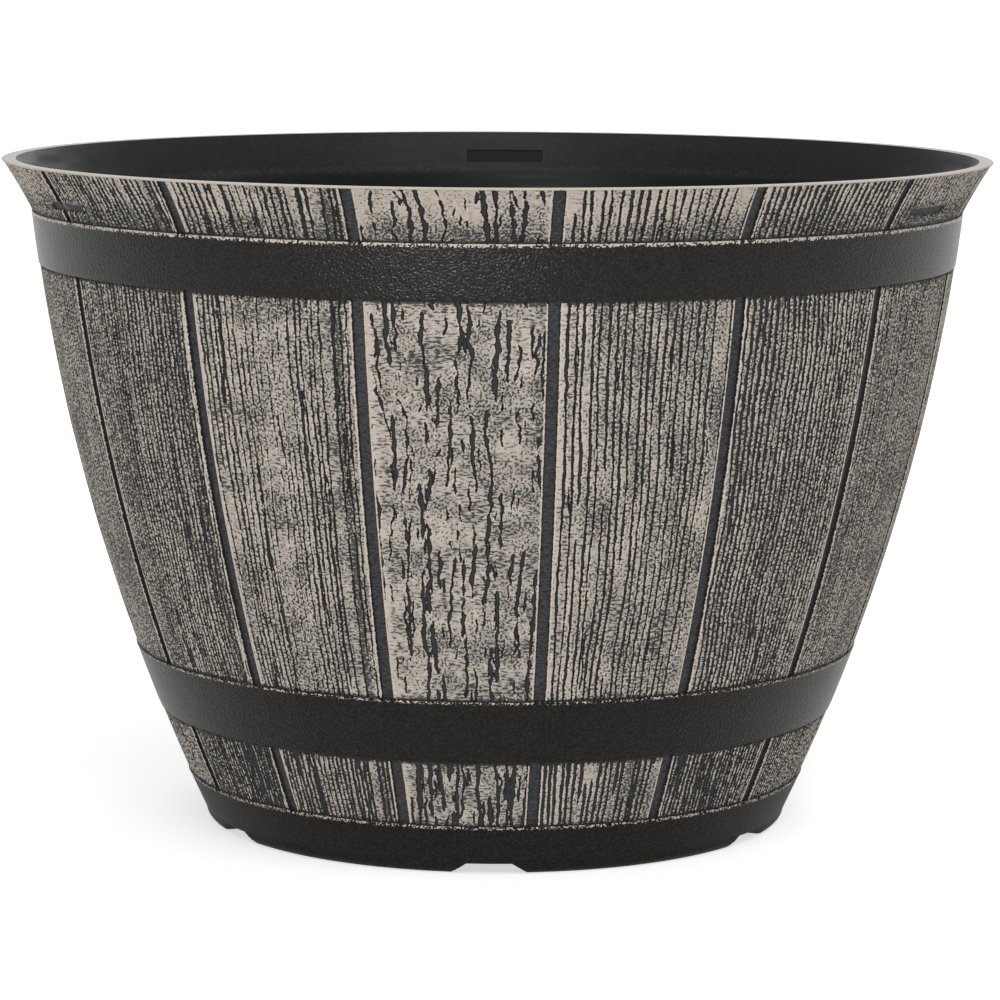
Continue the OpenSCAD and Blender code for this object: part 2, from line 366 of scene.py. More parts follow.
# Directions from a ring hole to the corners of its sixth of the floor, and to points between.
rim_corner, hub_corner = (
    math.atan2(edge_r * math.sin(half_sector), edge_r * math.cos(half_sector) - drain_ring_r)
    for edge_r in (floor_r, hub_r))
half_turns = np.concatenate([
    np.linspace(0, rim_corner, 12, endpoint=False),
    np.linspace(rim_corner, hub_corner, 12, endpoint=False), np.linspace(hub_corner, math.pi, 5)])
ring_turn = np.concatenate([half_turns, -half_turns[-2:0:-1] + math.tau])

# The six sectors, then the hub and the floor's upright rim, which meet them point for point.
radius, z, triangles = holed_plate(sector_reach(ring_turn), ring_turn)
outward, sideways = drain_ring_r + radius * np.cos(ring_turn), radius * np.sin(ring_turn)
reach, turn = np.hypot(outward, sideways), np.arctan2(sideways, outward)
floor_parts = [(around(reach, hole_angle + turn, z), triangles) for hole_angle in hole_angles]
hub_turn, rim_turn = (
    np.unique(np.round((hole_angles[:, None] + turn[0][np.abs(reach[0] - edge_r) < 1e-3]) % math.tau, 9))
    for edge_r in (hub_r, floor_r))
radius, z, triangles = holed_plate(np.full(len(hub_turn), hub_r), hub_turn)
floor_parts.append((around(radius, hub_turn, z), triangles))
rim_points = around(floor_r, rim_turn, np.array([[floor_z], [floor_top]]))
floor_parts.append((rim_points, grid_triangles(round_ids(rim_points.shape[:2]))))
make_piece("tub_floor", *weld(*joined(floor_parts)), resin, "charcoal_resin")

# Spokes under the floor: six thin ribs moulded with it, midway between the ring holes, with
# their lower edges rounded so that the moulding leaves the steel.
spoke_t, spoke_h = 2.2, 3.0
spoke_round = 0.7


def swept(sections):
    """A closed skin over closed sections, one after another. The first and last are drawn
    together to a point at their own middle."""
    ends = [np.broadcast_to(sections[i].mean(0), sections[i].shape) for i in (0, -1)]
    points = np.concatenate([ends[0][None], sections, ends[1][None]])
    return weld(points, grid_triangles(round_ids(points.shape[:2])))


spoke_side, spoke_low = spoke_t / 2 - spoke_round, floor_z - spoke_h + spoke_round
spoke_section = np.concatenate([
    [[spoke_t / 2, floor_z + 0.6], [-spoke_t / 2, floor_z + 0.6]],
    arc_points((-spoke_side, spoke_low), spoke_round, 180, 270, 3),
    arc_points((spoke_side, spoke_low), spoke_round, -90, 0, 3)])
side, z = spoke_section.T
outward = np.linspace(boss_r - 1, foot_r - wall_seat, 12)[:, None]
spokes = [swept(around(np.hypot(outward, side), spoke_turn + np.arctan2(side, outward), z))
          for spoke_turn in hole_angles + half_sector]
make_piece("floor_spokes", *joined(spokes), resin, "charcoal_resin")

# ---- Stave faces ---------------------------------------
# Sixteen wood-effect faces moulded on the wall, with six kinds of grain about half a millimetre
# deep. The taupe paint is brushed across dry, so that it stays on the high ground and leaves
# cracks, pinholes and the corners by the hoops in bare charcoal resin, which is darkened further
# as painted shade in narrow cracks, at crack edges, by the hoops and along the grooves.
stave_count = 16
groove_w = 4.1
first_groove = math.radians(6.5)
foot_h = 19.8
lower_hoop = (46.6, 71.4)
upper_hoop = (neck_z - 20.6, neck_z)
crack_depth = 0.55
edge_round = 0.5
column_step, row_step = 0.36, 0.9
back_step = 12             # rows and columns of the front to one of the back
band_sunk = 2.0            # how deep the back of a stave face or a band lies in the wall
grain_r = 165.0            # radius at which the grain's sizes across a stave are given
uv_apart = 97.0            # mm between two staves' patterns, so that no two look alike
wider_below = 0.30         # mm that cracks are wider below the lower hoop
# The extra speck beside the bands is partly painted shade in the corners by the hoops and the foot.
clean_flare, scuffed_flare, scuffed_and_shaded_bands = 0.27, 0.16, 1.1        # changes of speck
solid_from, solid_to = 4, 13               # mm up the flare over which the paint turns solid
# Paint left off beside the bands and the grooves: partly real bare corners, partly painted shade in
# those corners and on the groove walls.
bare_and_shade_by_band, bare_and_shade_by_groove = 0.60, 0.22  # mm left unpainted
wave_depth = 0.06
slot_angles = np.radians([60, 180, 300])
slot_w, slot_h, slot_depth, slot_z = 30.0, 2.5, 1.2, neck_z + 6.0
grain_seed = 100

# Grain of each kind of stave. speck is how thickly pinholes lie, comb how far they are drawn out
# sideways, and flare how many mm wider the cracks are on the flare. patches change speck by
# (amount, width, height in mm), and bumps add to it by (place, reach, amount), where places run
# from -1 to 1 across the stave. layers are rows of cracks, as crack_depths() takes them.
GRAIN = {
    "split": dict(speck=0.63, comb=0.44, flare=0.02, patches=[(0.09, 5, 3), (0.04, 12, 5)], bumps=[
        (-0.95, 0.05, -0.4), (0.90, 0.06, 0.14), (0.55, 0.25, 0.04)], layers=[
        dict(spacing=4.3, uneven=0.30, sway=0.7, drift=0.7, shake=0.22, jag=0.20, half=0.68,
             rough=0.30, run=13, cover=0.56, blunt=2.4),
        dict(spacing=3.0, uneven=0.40, sway=0.9, drift=0.8, shake=0.32, jag=0.24, half=0.40,
             rough=0.30, run=4.5, cover=0.34)]),
    "ruled": dict(speck=0.68, comb=0.12, flare=0.02, patches=[(0.07, 3, 8), (0.05, 8, 6)], bumps=[
        (-0.95, 0.05, -0.3), (0.45, 0.22, 0.08), (-0.72, 0.12, -0.22)], layers=[
        dict(spacing=2.85, uneven=0.14, half=0.46, rough=0.12, run=40, cover=0.95, thin=0.05),
        dict(spacing=6.0, uneven=0.40, drift=0.20, shake=0.12, half=0.30, rough=0.25, run=12,
             cover=0.30)]),
    "dense": dict(speck=0.74, comb=0.05, flare=0.04, patches=[(0.06, 2.3, 12), (0.04, 9, 9)], bumps=[
        (-0.97, 0.04, -0.3)], layers=[
        dict(spacing=2.30, uneven=0.06, sway=0.9, drift=0.08, shake=0.12, jag=0.11, half=0.60,
             rough=0.13, run=45, cover=0.99)]),
    "worn": dict(speck=0.75, comb=0.10, flare=0.10, patches=[(0.06, 2.3, 12), (0.04, 9, 9)], bumps=[
        (-0.62, 0.35, 0.18), (0.84, 0.06, 0.5), (0.97, 0.04, -0.6)], layers=[
        dict(spacing=2.10, uneven=0.10, sway=0.5, drift=0.12, shake=0.13, jag=0.10, half=0.58,
             rough=0.16, run=45, cover=0.97, blunt=1, calm=(-0.70, 0.30, 0.14))]),
    "fine": dict(speck=0.84, comb=0.25, flare=0.05, patches=[(0.05, 3, 14), (0.04, 10, 9)], bumps=[
        (-0.9, 0.08, -0.1)], layers=[
        dict(spacing=2.5, half=0.46, rough=0.14, run=40, cover=0.96)]),
    "streaked": dict(speck=0.65, comb=0.22, flare=0.12, patches=[(0.06, 3, 8), (0.07, 7, 3.5)], bumps=[
        (-0.97, 0.03, -0.4), (0.82, 0.07, 0.45), (-0.15, 0.25, 0.04)], layers=[
        dict(spacing=2.35, drift=0.14, shake=0.11, jag=0.09, half=0.43, rough=0.18, run=40,
             cover=0.94, thin=0.05, blunt=1, calm=(-0.10, 0.25, 0.24)),
        dict(spacing=8.5, uneven=0.40, drift=0.4, shake=0.14, jag=0.10, half=0.46, rough=0.22,
             run=28, cover=0.55, blunt=1)]),
}
STAVE_KINDS = ["split", "ruled", "dense", "fine", "streaked", "split", "worn", "ruled",
               "dense", "split", "fine", "streaked", "ruled", "fine", "worn", "streaked"]
HILL_SPREAD = 0.277        # standard deviation of soft_noise() before it is scaled
TRACK_REACH = 42           # mm either side of a stave's middle that its tracks cover
SWAY_L, DRIFT_L, SHAKE_L, JAG_L = 24, 15, 3, 1.4           # mm of a track to each of its bends
SWELL_L, ROUGH_L = 8, 1.6                  # and to each change of its width
SWAY_W = 15                # mm across the stave over which neighbours sway as one


def soft_noise(rng, x, y):
    """Smooth random hills, one unit apart, at the points (x, y): random heights on a square
    lattice, blended by cubic B-spline weights and scaled to a spread of about one."""
    x, y = np.broadcast_arrays(x - x.min(), y - y.min())
    lattice = rng.uniform(-1, 1, (int(y.max()) + 4, int(x.max()) + 4))
    total = np.zeros(x.shape)
    for across, along in ((i, j) for i in range(4) for j in range(4)):
        weight = spline_weight(x - np.floor(x), across) * spline_weight(y - np.floor(y), along)
        total += weight * lattice[np.floor(y).astype(int) + along, np.floor(x).astype(int) + across]
    return total / HILL_SPREAD


def spline_weight(t, place):
    """Weight of the lattice point at that place from 0 to 3, a share t past the second one."""
    return ((1 - t) ** 3, 3 * t ** 3 - 6 * t ** 2 + 4, -3 * t ** 3 + 3 * t ** 2 + 3 * t + 1,
            t ** 3)[place] / 6


def crack_depths(rng, across, along, share, spacing, half, rough, run, cover, uneven=0.12,
                 sway=0.4, drift=0.15, shake=0.10, jag=0.06, thin=0.0, blunt=2.0, calm=(0, 1, 0)):
    """How far each point lies inside a crack of one layer, in mm, and less than nought outside.

    Cracks follow tracks up the stave, spacing apart and placed within the share uneven of that,
    of which the share thin is left out. A track bends with its neighbours by sway, and alone by
    drift, shake and jag, over shorter and shorter lengths. A crack is half wide either side,
    which rough varies. It is open over the share cover of its track, dies away over about the
    length run, less when blunt, and is narrowed by calm = (place, reach, amount)."""
    tracks = np.arange(-TRACK_REACH, TRACK_REACH + 0.1, spacing)
    tracks = tracks + rng.uniform(-1, 1, len(tracks)) * uneven * spacing
    tracks = tracks[rng.random(len(tracks)) >= thin]
    apart = 5.0 * np.arange(len(tracks))[:, None]      # far enough to share no hill
    shift = rng.uniform(0, 9, len(tracks))[:, None]
    middle = (tracks[:, None] + sway * soft_noise(rng, along / SWAY_L, tracks[:, None] / SWAY_W)
              + drift * soft_noise(rng, along / DRIFT_L + shift, apart)
              + shake * soft_noise(rng, along / SHAKE_L, apart)
              + jag * soft_noise(rng, along / JAG_L, apart))
    swell = half * (rng.uniform(0.85, 1.15, len(tracks))[:, None]
                    + 0.12 * soft_noise(rng, along / SWELL_L + shift, apart)
                    + rough * soft_noise(rng, along / ROUGH_L, apart))
    ends = soft_noise(rng, along / run + shift, apart)
    ends = (ends - np.quantile(ends, 1 - cover)) * run / 7 * blunt
    place, reach, amount = calm
    narrowed = amount * np.exp(-((share - place) / reach) ** 2)
    inside = np.full(across.shape, -9.0)
    for track, width in zip(middle, np.minimum(swell, ends)):
        inside = np.maximum(inside, width[:, None] - np.abs(across - track[:, None]) - narrowed)
    return inside


def spaced(low, high, step):
    """Evenly spaced heights from low to high, about a step apart."""
    return np.linspace(low, high, int(round((high - low) / step)) + 1)


def fan_strip(fine, coarse, picks):
    """Triangles between a fine row of vertices and a coarse one. picks says which vertex of the
    fine row each coarse one stands by."""
    place = np.arange(len(fine) - 1)
    part = np.searchsorted(picks, place, side="right") - 1
    middle = (picks[:-1] + picks[1:]) // 2
    pivot = np.where(place < middle[part], coarse[part], coarse[part + 1])
    return np.concatenate([np.stack([fine[:-1], fine[1:], pivot], -1),
                           np.stack([fine[middle], coarse[1:], coarse[:-1]], -1)])


def slab_triangles(rows, columns, back_rows, back_columns):
    """A slab with a fine front and a coarse back: the front's grid, the back's grid turned
    round, and a strip along each of the four sides."""
    front = np.arange(rows * columns).reshape(rows, columns)
    back = rows * columns + np.arange(len(back_rows) * len(back_columns))
    back = back.reshape(len(back_rows), -1)
    flipped_rows = rows - 1 - back_rows[::-1]
    flipped_columns = columns - 1 - back_columns[::-1]
    return np.concatenate([
        grid_triangles(front), grid_triangles(back)[:, ::-1],
        fan_strip(front[0, ::-1], back[0, ::-1], flipped_columns),
        fan_strip(front[::-1, -1], back[::-1, -1], flipped_rows),
        fan_strip(front[-1], back[-1], back_columns),
        fan_strip(front[:, 0], back[:, 0], back_rows)])


PAINT = srgb("#b9aea2")
PAINT_THIN = srgb("#93918a")
PAINT_THICK = srgb("#cfc4b8")
# Bare charcoal resin. The darker of the two also stands for painted shade in narrow cracks, at crack
# edges and in pinholes; the other is the open floor of a wide crack.
BARE_AND_CRACK_SHADE = srgb("#131312")
BARE_WIDE = srgb("#2b2d30")
PINHOLE = 0.95             # mm, the pitch of the moulded pinholes between the cracks
COMB = (2.4, 0.78)         # mm, length and pitch of the sideways scuffs that the brush leaves
CLOUD = 3.5                # mm, the pitch of the paint's thick and thin places


def brushed_taupe_paint():
    """Matt taupe acrylic, dry-brushed over moulded grain: solid on the high ground, thin and
    greyer where the brush dragged, and missing from cracks and pinholes, which stay charcoal,
    darkened as painted shade in narrow cracks and at crack edges."""
    material, add = new_material("brushed_taupe_paint")
    place = add("UVMap", {}, uv_map="grain_mm")
    bare, speck, comb = (add("Attribute", {}, attribute_name=label).outputs["Fac"]
                         for label in ("bare", "speck", "comb"))
    pits = add("TexNoise", {"Vector": place, "Scale": 1 / PINHOLE, "Detail": 1.6},
               noise_dimensions="2D")
    drag = add("Mapping", {"Vector": place, "Scale": (1 / COMB[0], 1 / COMB[1], 1)})
    scuffs = add("TexNoise", {"Vector": drag, "Scale": 1.0, "Roughness": 0.6},
                 noise_dimensions="2D")
    cloud = add("TexNoise", {"Vector": place, "Scale": 1 / CLOUD, "Detail": 3.0, "Roughness": 0.6},
                noise_dimensions="2D")

    # Pinholes and scuffs: bare where the pattern passes a limit that falls as speck rises.
    pattern = add("Mix", {0: comb, 2: pits, 3: scuffs}, data_type="FLOAT")
    limit = add("MapRange", {"Value": speck, "To Min": 0.76, "To Max": 0.42}, clamp=False)
    over = add("Math", {0: pattern, 1: limit}, operation="SUBTRACT")
    pinholes = add("MapRange", {"Value": over, "From Min": -0.05, "From Max": 0.08, "To Max": 0.86},
                   interpolation_type="SMOOTHSTEP")
    ragged = add("MapRange", {"Value": pits, "From Min": 0.3, "From Max": 0.7, "To Min": -0.15,
                              "To Max": 0.15})
    crack_edge = add("Math", {0: bare, 1: ragged}, operation="ADD")
    crack = add("MapRange", {"Value": crack_edge, "From Min": -0.10, "From Max": 0.10},
                interpolation_type="SMOOTHSTEP")
    no_paint = add("Math", {0: crack, 1: pinholes}, operation="MAXIMUM")

    # The film: thinner where pinholes crowd, streaked by the brush, and thick beside the cracks.
    scarce = add("Math", {0: speck, 1: cloud}, operation="ADD")
    thin = add("MapRange", {"Value": scarce, "From Min": 0.85, "From Max": 1.45})
    film = add("Mix", {0: thin, 6: PAINT, 7: PAINT_THIN}, data_type="RGBA")
    streak = add("MapRange", {"Value": scuffs, "From Min": 0.3, "From Max": 0.7, "To Max": 0.22})
    dragged = add("Mix", {0: streak, 6: film, 7: BARE_AND_CRACK_SHADE}, data_type="RGBA")
    ridge = add("MapRange", {"Value": bare, "From Min": -0.75, "From Max": -0.25, "To Max": 0.35})
    ridged = add("Mix", {0: ridge, 6: dragged, 7: PAINT_THICK}, data_type="RGBA")
    # Painted shade: bare resin is darkest in narrow cracks and at a crack's edges, and lighter only on
    # the open floor of a wide crack.
    open_crack = add("MapRange", {"Value": bare, "From Min": 0.25, "From Max": 0.50})
    bare_resin_and_shade = add("Mix", {0: open_crack, 6: BARE_AND_CRACK_SHADE, 7: BARE_WIDE}, data_type="RGBA")
    colour = add("Mix", {0: no_paint, 6: ridged, 7: bare_resin_and_shade}, data_type="RGBA")
    gloss = add("MapRange", {"Value": no_paint, "To Min": 0.62, "To Max": 0.55})

    hills = add("Math", {0: pattern, 1: 3.0}, operation="MULTIPLY")
    dips = add("Math", {0: hills, 1: no_paint}, operation="ADD")
    relief = add("Math", {0: 1.0, 1: dips}, operation="SUBTRACT")
    bump = add("Bump", {"Height": relief, "Distance": 0.12 * MM})
    surface = add("BsdfPrincipled", {
        "Base Color": colour, "Roughness": gloss, "IOR": 1.46, "Specular IOR Level": 0.16,
        "Normal": bump})
    add("OutputMaterial", {"Surface": surface})
    return material


paint = brushed_taupe_paint()

slot_low, slot_high = slot_z - slot_h / 2, slot_z + slot_h / 2
row_z = np.unique(np.concatenate([
    spaced(foot_h - 0.8, lower_hoop[0] + 0.4, row_step), spaced(*lower_hoop, 8),
    spaced(lower_hoop[1] - 0.4, upper_hoop[0] + 0.4, row_step), spaced(*upper_hoop, 7),
    spaced(neck_z, slot_low, 0.8), spaced(slot_low + 0.1, slot_high - 0.1, 0.6),
    spaced(slot_high, stave_top, 0.8)]))
turn = np.arcsin((np.minimum(row_z, neck_z) - arc_z) / arc_r) - math.asin(-arc_z / arc_r)
flare_slope = math.hypot(1, (rim_r - neck_r) / flare_h)
along = arc_r * turn + np.maximum(row_z - neck_z, 0) * flare_slope
face_r = outer_radius(row_z)
half_turn = math.pi / stave_count - np.arcsin(groove_w / 2 / face_r)
share = np.linspace(-1, 1, int(2 * half_turn.max() * neck_r / column_step) | 1)
stave_turn = half_turn[:, None] * share
true_across = stave_turn * face_r[:, None]
grain_across = stave_turn * grain_r
edge_gap = half_turn[:, None] * face_r[:, None] * (1 - np.abs(share))
bands = [(0, foot_h), lower_hoop, upper_hoop]
band_gap = np.min([np.abs(row_z - edge) for band in bands for edge in band], axis=0)
in_flare = smooth_step(row_z, neck_z - 1, neck_z + 1)[:, None]
up_flare = smooth_step(row_z, neck_z + solid_from, neck_z + solid_to)[:, None]
low_flare = in_flare * (1 - up_flare)
below = smooth_step(-row_z, -lower_hoop[1], -lower_hoop[0])[:, None]
back_rows = np.unique(np.r_[0:len(row_z):back_step, len(row_z) - 1])
back_columns = np.unique(np.r_[0:len(share):back_step, len(share) - 1])
back_z = row_z[back_rows][:, None]
back_turn = stave_turn[np.ix_(back_rows, back_columns)]
back_values = np.zeros(back_turn.size)
slab = slab_triangles(len(row_z), len(share), back_rows, back_columns)

for number in range(stave_count):
    rng = np.random.default_rng(grain_seed + number)
    grain = GRAIN[STAVE_KINDS[number]]
    middle = first_groove + (number - 0.5) * math.tau / stave_count

    # Where the cracks and slots lie. Cracks end before the stave's edges.
    inside = np.max([crack_depths(rng, grain_across, along, share, **layer)
                     for layer in grain["layers"]], axis=0)
    inside = inside + grain["flare"] * in_flare + wider_below * below
    inside = np.minimum(inside, edge_gap * 1.2 - 1.0)
    off_slot = (middle + stave_turn[..., None] - slot_angles + math.pi) % math.tau - math.pi
    beside = np.abs(np.sin(off_slot) * face_r[:, None, None]).min(-1) - slot_w / 2
    beside = np.where((np.cos(off_slot) > 0.9).any(-1), beside, 9.0)
    slot_gap = np.maximum(beside, np.abs(row_z - slot_z)[:, None] - slot_h / 2)

    # Where the paint is missing, which beside the hoops is also painted shade: more beside the hoops,
    # and less up the flare and at the edges.
    speck = grain["speck"] + sum(
        amount * soft_noise(rng, true_across / wide, along[:, None] / tall)
        for amount, wide, tall in grain["patches"])
    comb = grain["comb"] + 0.3 * soft_noise(rng, true_across / 7, along[:, None] / 5)
    comb = comb + 0.6 * np.exp(-((share + 0.88) / 0.12) ** 2) - low_flare
    comb = smooth_step(comb, 0.38, 0.62)
    for place, reach, extra in grain["bumps"]:
        speck = speck + extra * np.exp(-((share - place) / reach) ** 2)
    speck = speck - 0.02 * below - clean_flare * up_flare + scuffed_flare * low_flare
    speck = np.clip(speck, 0, 1.05) * smooth_step(edge_gap, 0.4, 1.1)
    speck = speck + scuffed_and_shaded_bands * np.exp(-(band_gap[:, None] / 1.0) ** 2)
    # Bare beside the bands and along the groove edges, which also stands for painted shade there.
    bare = np.maximum(np.maximum(inside, bare_and_shade_by_band - band_gap[:, None]), -2 * slot_gap)
    bare = np.maximum(bare, bare_and_shade_by_groove - edge_gap)

    # How far the face is sunk: by cracks, by its rounded edges, by the slots and by a slow wave.
    sunk = crack_depth * smooth_step(inside, -0.15, 0.30)
    near_edge = 1 - np.minimum(edge_gap, edge_round) / edge_round
    sunk = sunk + edge_round * (1 - np.sqrt(1 - near_edge ** 2))
    sunk = np.maximum(sunk, slot_depth * (slot_gap < 0.02))
    wave = wave_depth * soft_noise(rng, grain_across / 6, along[:, None] / 30)
    front = around(outer_radius(row_z[:, None]) - sunk - wave_depth - np.abs(wave),
                   middle + stave_turn, row_z[:, None])
    back = around(outer_radius(back_z, band_sunk), middle + back_turn, back_z)
    values = {"bare": np.append(bare, back_values + 1), "speck": np.append(speck, back_values),
              "comb": np.append(comb, back_values)}
    uv = np.stack(np.broadcast_arrays(true_across + uv_apart * number, along[:, None]), -1)
    uv = np.concatenate([uv.reshape(-1, 2), np.zeros((back_values.size, 2))])
    points = np.concatenate([front.reshape(-1, 3), back.reshape(-1, 3)])
    make_piece(f"stave_face_{number + 1:02}", points, slab, paint, "brushed_taupe_paint",
               values=values, uv=uv, crease=60)

# ---- Lip -----------------------------------------------
# The thin flat edge of the rim, moulded with the tub. It closes the grooves, and the same taupe
# paint is wiped over it, solid, with its top painted a lighter grey as sheen from the light above.
lip_round, bore_round = 0.4, 0.3
lip_edge = rim_r - 0.07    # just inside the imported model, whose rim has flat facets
# Painted sheen: the lip's top is a lighter grey where the light catches it.
LIP_SHEEN_GREY = srgb("#dad7d1")
LIP_SHEEN_GREY_THIN = srgb("#cecbc5")
LIP_CLOUD, LIP_PIT = 8, 0.9        # mm, the pitch of the coat's clouds and of its pinholes


def wiped_taupe_paint():
    """The same matt taupe acrylic wiped over a plain satin surface: an even coat, painted a
    lighter grey on top as sheen, with faint cloudy changes and a few pinholes where it missed the grain."""
    material, add = new_material("wiped_taupe_paint")
    place = add("TexCoord", {}).outputs["Object"]
    painted_sheen = add("Attribute", {}, attribute_name="painted_sheen").outputs["Fac"]
    cloud = add("TexNoise", {
        "Vector": place, "Scale": 1 / (LIP_CLOUD * MM), "Detail": 3.0, "Roughness": 0.65})
    pits = add("TexNoise", {"Vector": place, "Scale": 1 / (LIP_PIT * MM), "Detail": 1.0})
    # Painted sheen on top, mixed towards the lighter grey.
    sheen_grey = add("Mix", {0: cloud, 6: LIP_SHEEN_GREY, 7: LIP_SHEEN_GREY_THIN}, data_type="RGBA")
    film = add("Mix", {0: painted_sheen, 6: PAINT, 7: sheen_grey}, data_type="RGBA")
    missed = add("MapRange", {"Value": pits, "From Min": 0.68, "From Max": 0.74, "To Max": 0.5})
    colour = add("Mix", {0: missed, 6: film, 7: BARE_AND_CRACK_SHADE}, data_type="RGBA")
    bump = add("Bump", {"Height": pits, "Strength": 0.5, "Distance": 0.04 * MM})
    surface = add("BsdfPrincipled", {
        "Base Color": colour, "Roughness": 0.6, "IOR": 1.46, "Specular IOR Level": 0.2,
        "Normal": bump})
    add("OutputMaterial", {"Surface": surface})
    return material


lip_outline = np.concatenate([
    [[rim_r - 3.2, stave_top], [flare_radius(stave_top), stave_top]],
    arc_points((lip_edge - lip_round, height - lip_round), lip_round, 0, 90),
    arc_points((rim_r - lip_w + bore_round, height - bore_round), bore_round, 90, 170, 3),
    [[rim_r - lip_w + 0.4, height - 0.6]]])
lip_points, lip_triangles = turned(lip_outline, ring_angles)
# The top takes the painted sheen.
on_top = smooth_step(lip_outline[:, 1:], height - 0.08, height - 0.01)
make_piece("lip", lip_points, lip_triangles, wiped_taupe_paint(), "brushed_taupe_paint",
           values={"painted_sheen": np.broadcast_to(on_top, lip_points.shape[:2])})

# ---- Hoops ---------------------------------------------
# Two flat bands round the staves that look like iron hoops but are moulded with the wall. They
# stand 0.3 mm proud, carry a fine sandy grain, and the brush has left paint along their top
# edges, with only a dab where a groove meets them.
hoop_proud, hoop_round = 0.3, 0.3
paint_fade = 1.7           # mm over which the paint on a top edge dies away
dab_w, dab_strength = 1.1, 0.75
upper_paint, lower_paint = 0.94, 0.31      # how strongly each hoop's top edge holds paint
HOOP = srgb("#0e0d0c")
# The lighter colour of the grain's crowns, partly a painted highlight.
HOOP_CROWN_TONE_AND_SHEEN = srgb("#24221d")
EDGE_PAINT = srgb("#b8aea2")
SAND = 0.78                # mm, the pitch of the sandy grain
BEAD = 0.75                # mm, the pitch at which the line of paint swells and breaks


def grained_hoop_resin(name, roughness, specular, relief):
    """Charcoal polypropylene moulded against photo-etched steel: a fine sandy grain, relief mm
    high and satin on its crowns, which are also painted lighter as a highlight, with taupe paint
    left in a ragged line on the top edge."""
    material, add = new_material(name)
    place = add("TexCoord", {}).outputs["Object"]
    rubbed = add("Attribute", {}, attribute_name="rubbed").outputs["Fac"]
    grain = add("TexNoise", {"Vector": place, "Scale": 1 / (SAND * MM), "Detail": 0.6})
    # The grain's crowns are lighter and warmer: partly the grain's own tone, partly a painted highlight.
    crown_tone_and_sheen = add("MapRange", {"Value": grain, "From Min": 0.42, "From Max": 0.72})
    resin_colour = add("Mix", {0: crown_tone_and_sheen, 6: HOOP, 7: HOOP_CROWN_TONE_AND_SHEEN}, data_type="RGBA")
    beads = add("TexNoise", {"Vector": place, "Scale": 1 / (BEAD * MM), "Detail": 0.0})
    wander = add("MapRange", {"Value": beads, "From Min": 0.36, "From Max": 0.62, "To Min": -0.5,
                              "To Max": 0.4})
    reach = add("Math", {0: wander, 1: rubbed}, operation="ADD")
    edge_paint = add("MapRange", {"Value": reach, "From Min": 0.45, "From Max": 0.60},
                     interpolation_type="SMOOTHSTEP")
    colour = add("Mix", {0: edge_paint, 6: resin_colour, 7: EDGE_PAINT}, data_type="RGBA")
    bump = add("Bump", {"Height": grain, "Distance": relief * MM})
    surface = add("BsdfPrincipled", {
        "Base Color": colour, "Roughness": roughness, "IOR": 1.49,
        "Specular IOR Level": specular, "Normal": bump})
    add("OutputMaterial", {"Surface": surface})
    return material


upper_resin = grained_hoop_resin("satin_grained_resin", 0.29, 0.19, 0.32)
lower_resin = grained_hoop_resin("dull_grained_resin", 0.33, 0.13, 0.38)
foot_resin = grained_hoop_resin("scuffed_grained_resin", 0.50, 0.09, 0.42)


def band_face(low, high, corner, corner_at, rows, steps):
    """Section of a band's outer side, from its lower edge up: a quarter round of radius corner
    seated on the belly at height corner_at, the belly's curve set out by hoop_proud, and a
    small quarter round at the top."""
    face_z = np.concatenate([np.linspace(low + corner, high - 3, rows)[1:],
                             np.linspace(high - 2.6, high - hoop_round, 6)[:-1]])
    seat_r, top_r = wall_radius(corner_at, -hoop_proud), wall_radius(high, -hoop_proud)
    return np.concatenate([
        arc_points((seat_r - corner, low + corner), corner, -90, 0, steps),
        np.stack([wall_radius(face_z, -hoop_proud), face_z], -1),
        arc_points((top_r - hoop_round, high - hoop_round), hoop_round, 0, 90, 3)])


def edge_rub(outline, angles, top, amount):
    """Paint left below a band's top edge: it dies away over paint_fade, and where a groove meets
    the band there is only a small dab in the middle."""
    step = math.tau / stave_count
    off_groove = np.abs((angles - first_groove + step / 2) % step - step / 2) * neck_r
    rows = amount * smooth_step(outline[:, 1], top - paint_fade, top)
    dab = dab_strength * np.exp(-(off_groove / dab_w) ** 2)
    return rows[:, None] * np.maximum(smooth_step(off_groove, groove_w / 2, groove_w / 2 + 0.8), dab)


groove_angles = first_groove + math.tau * np.arange(stave_count)[:, None] / stave_count
groove_steps = np.array([-3.0, -2.4, -2.0, -1.4, -0.7, 0.0, 0.7, 1.4, 2.0, 2.4, 3.0]) / neck_r
by_grooves = (groove_angles + groove_steps).ravel()
band_angles = np.unique(np.round(np.concatenate([ring_angles, by_grooves]) % math.tau, 6))
for name, (low, high), band_resin, amount in (
        ("upper_hoop", upper_hoop, upper_resin, upper_paint),
        ("lower_hoop", lower_hoop, lower_resin, lower_paint)):
    outline = np.concatenate([
        [[wall_radius(low, band_sunk), low]], band_face(low, high, hoop_round, low, 12, 3),
        [[wall_radius(high, band_sunk), high]]])
    points, triangles = turned(outline, band_angles)
    make_piece(name, points, triangles, band_resin, "hoop_resin",
               values={"rubbed": edge_rub(outline, band_angles, high, amount)})

# ---- Foot band -----------------------------------------
# The ring that the tub stands on, moulded with it and grained like the hoops. Six notches let
# water out from under the floor, and its lower edge is well rounded.
foot_round = 4.0
foot_ring_w = 6.5
foot_paint = 0.46
notch_w, notch_top_w, notch_h = 29.5, 17.0, 4.2

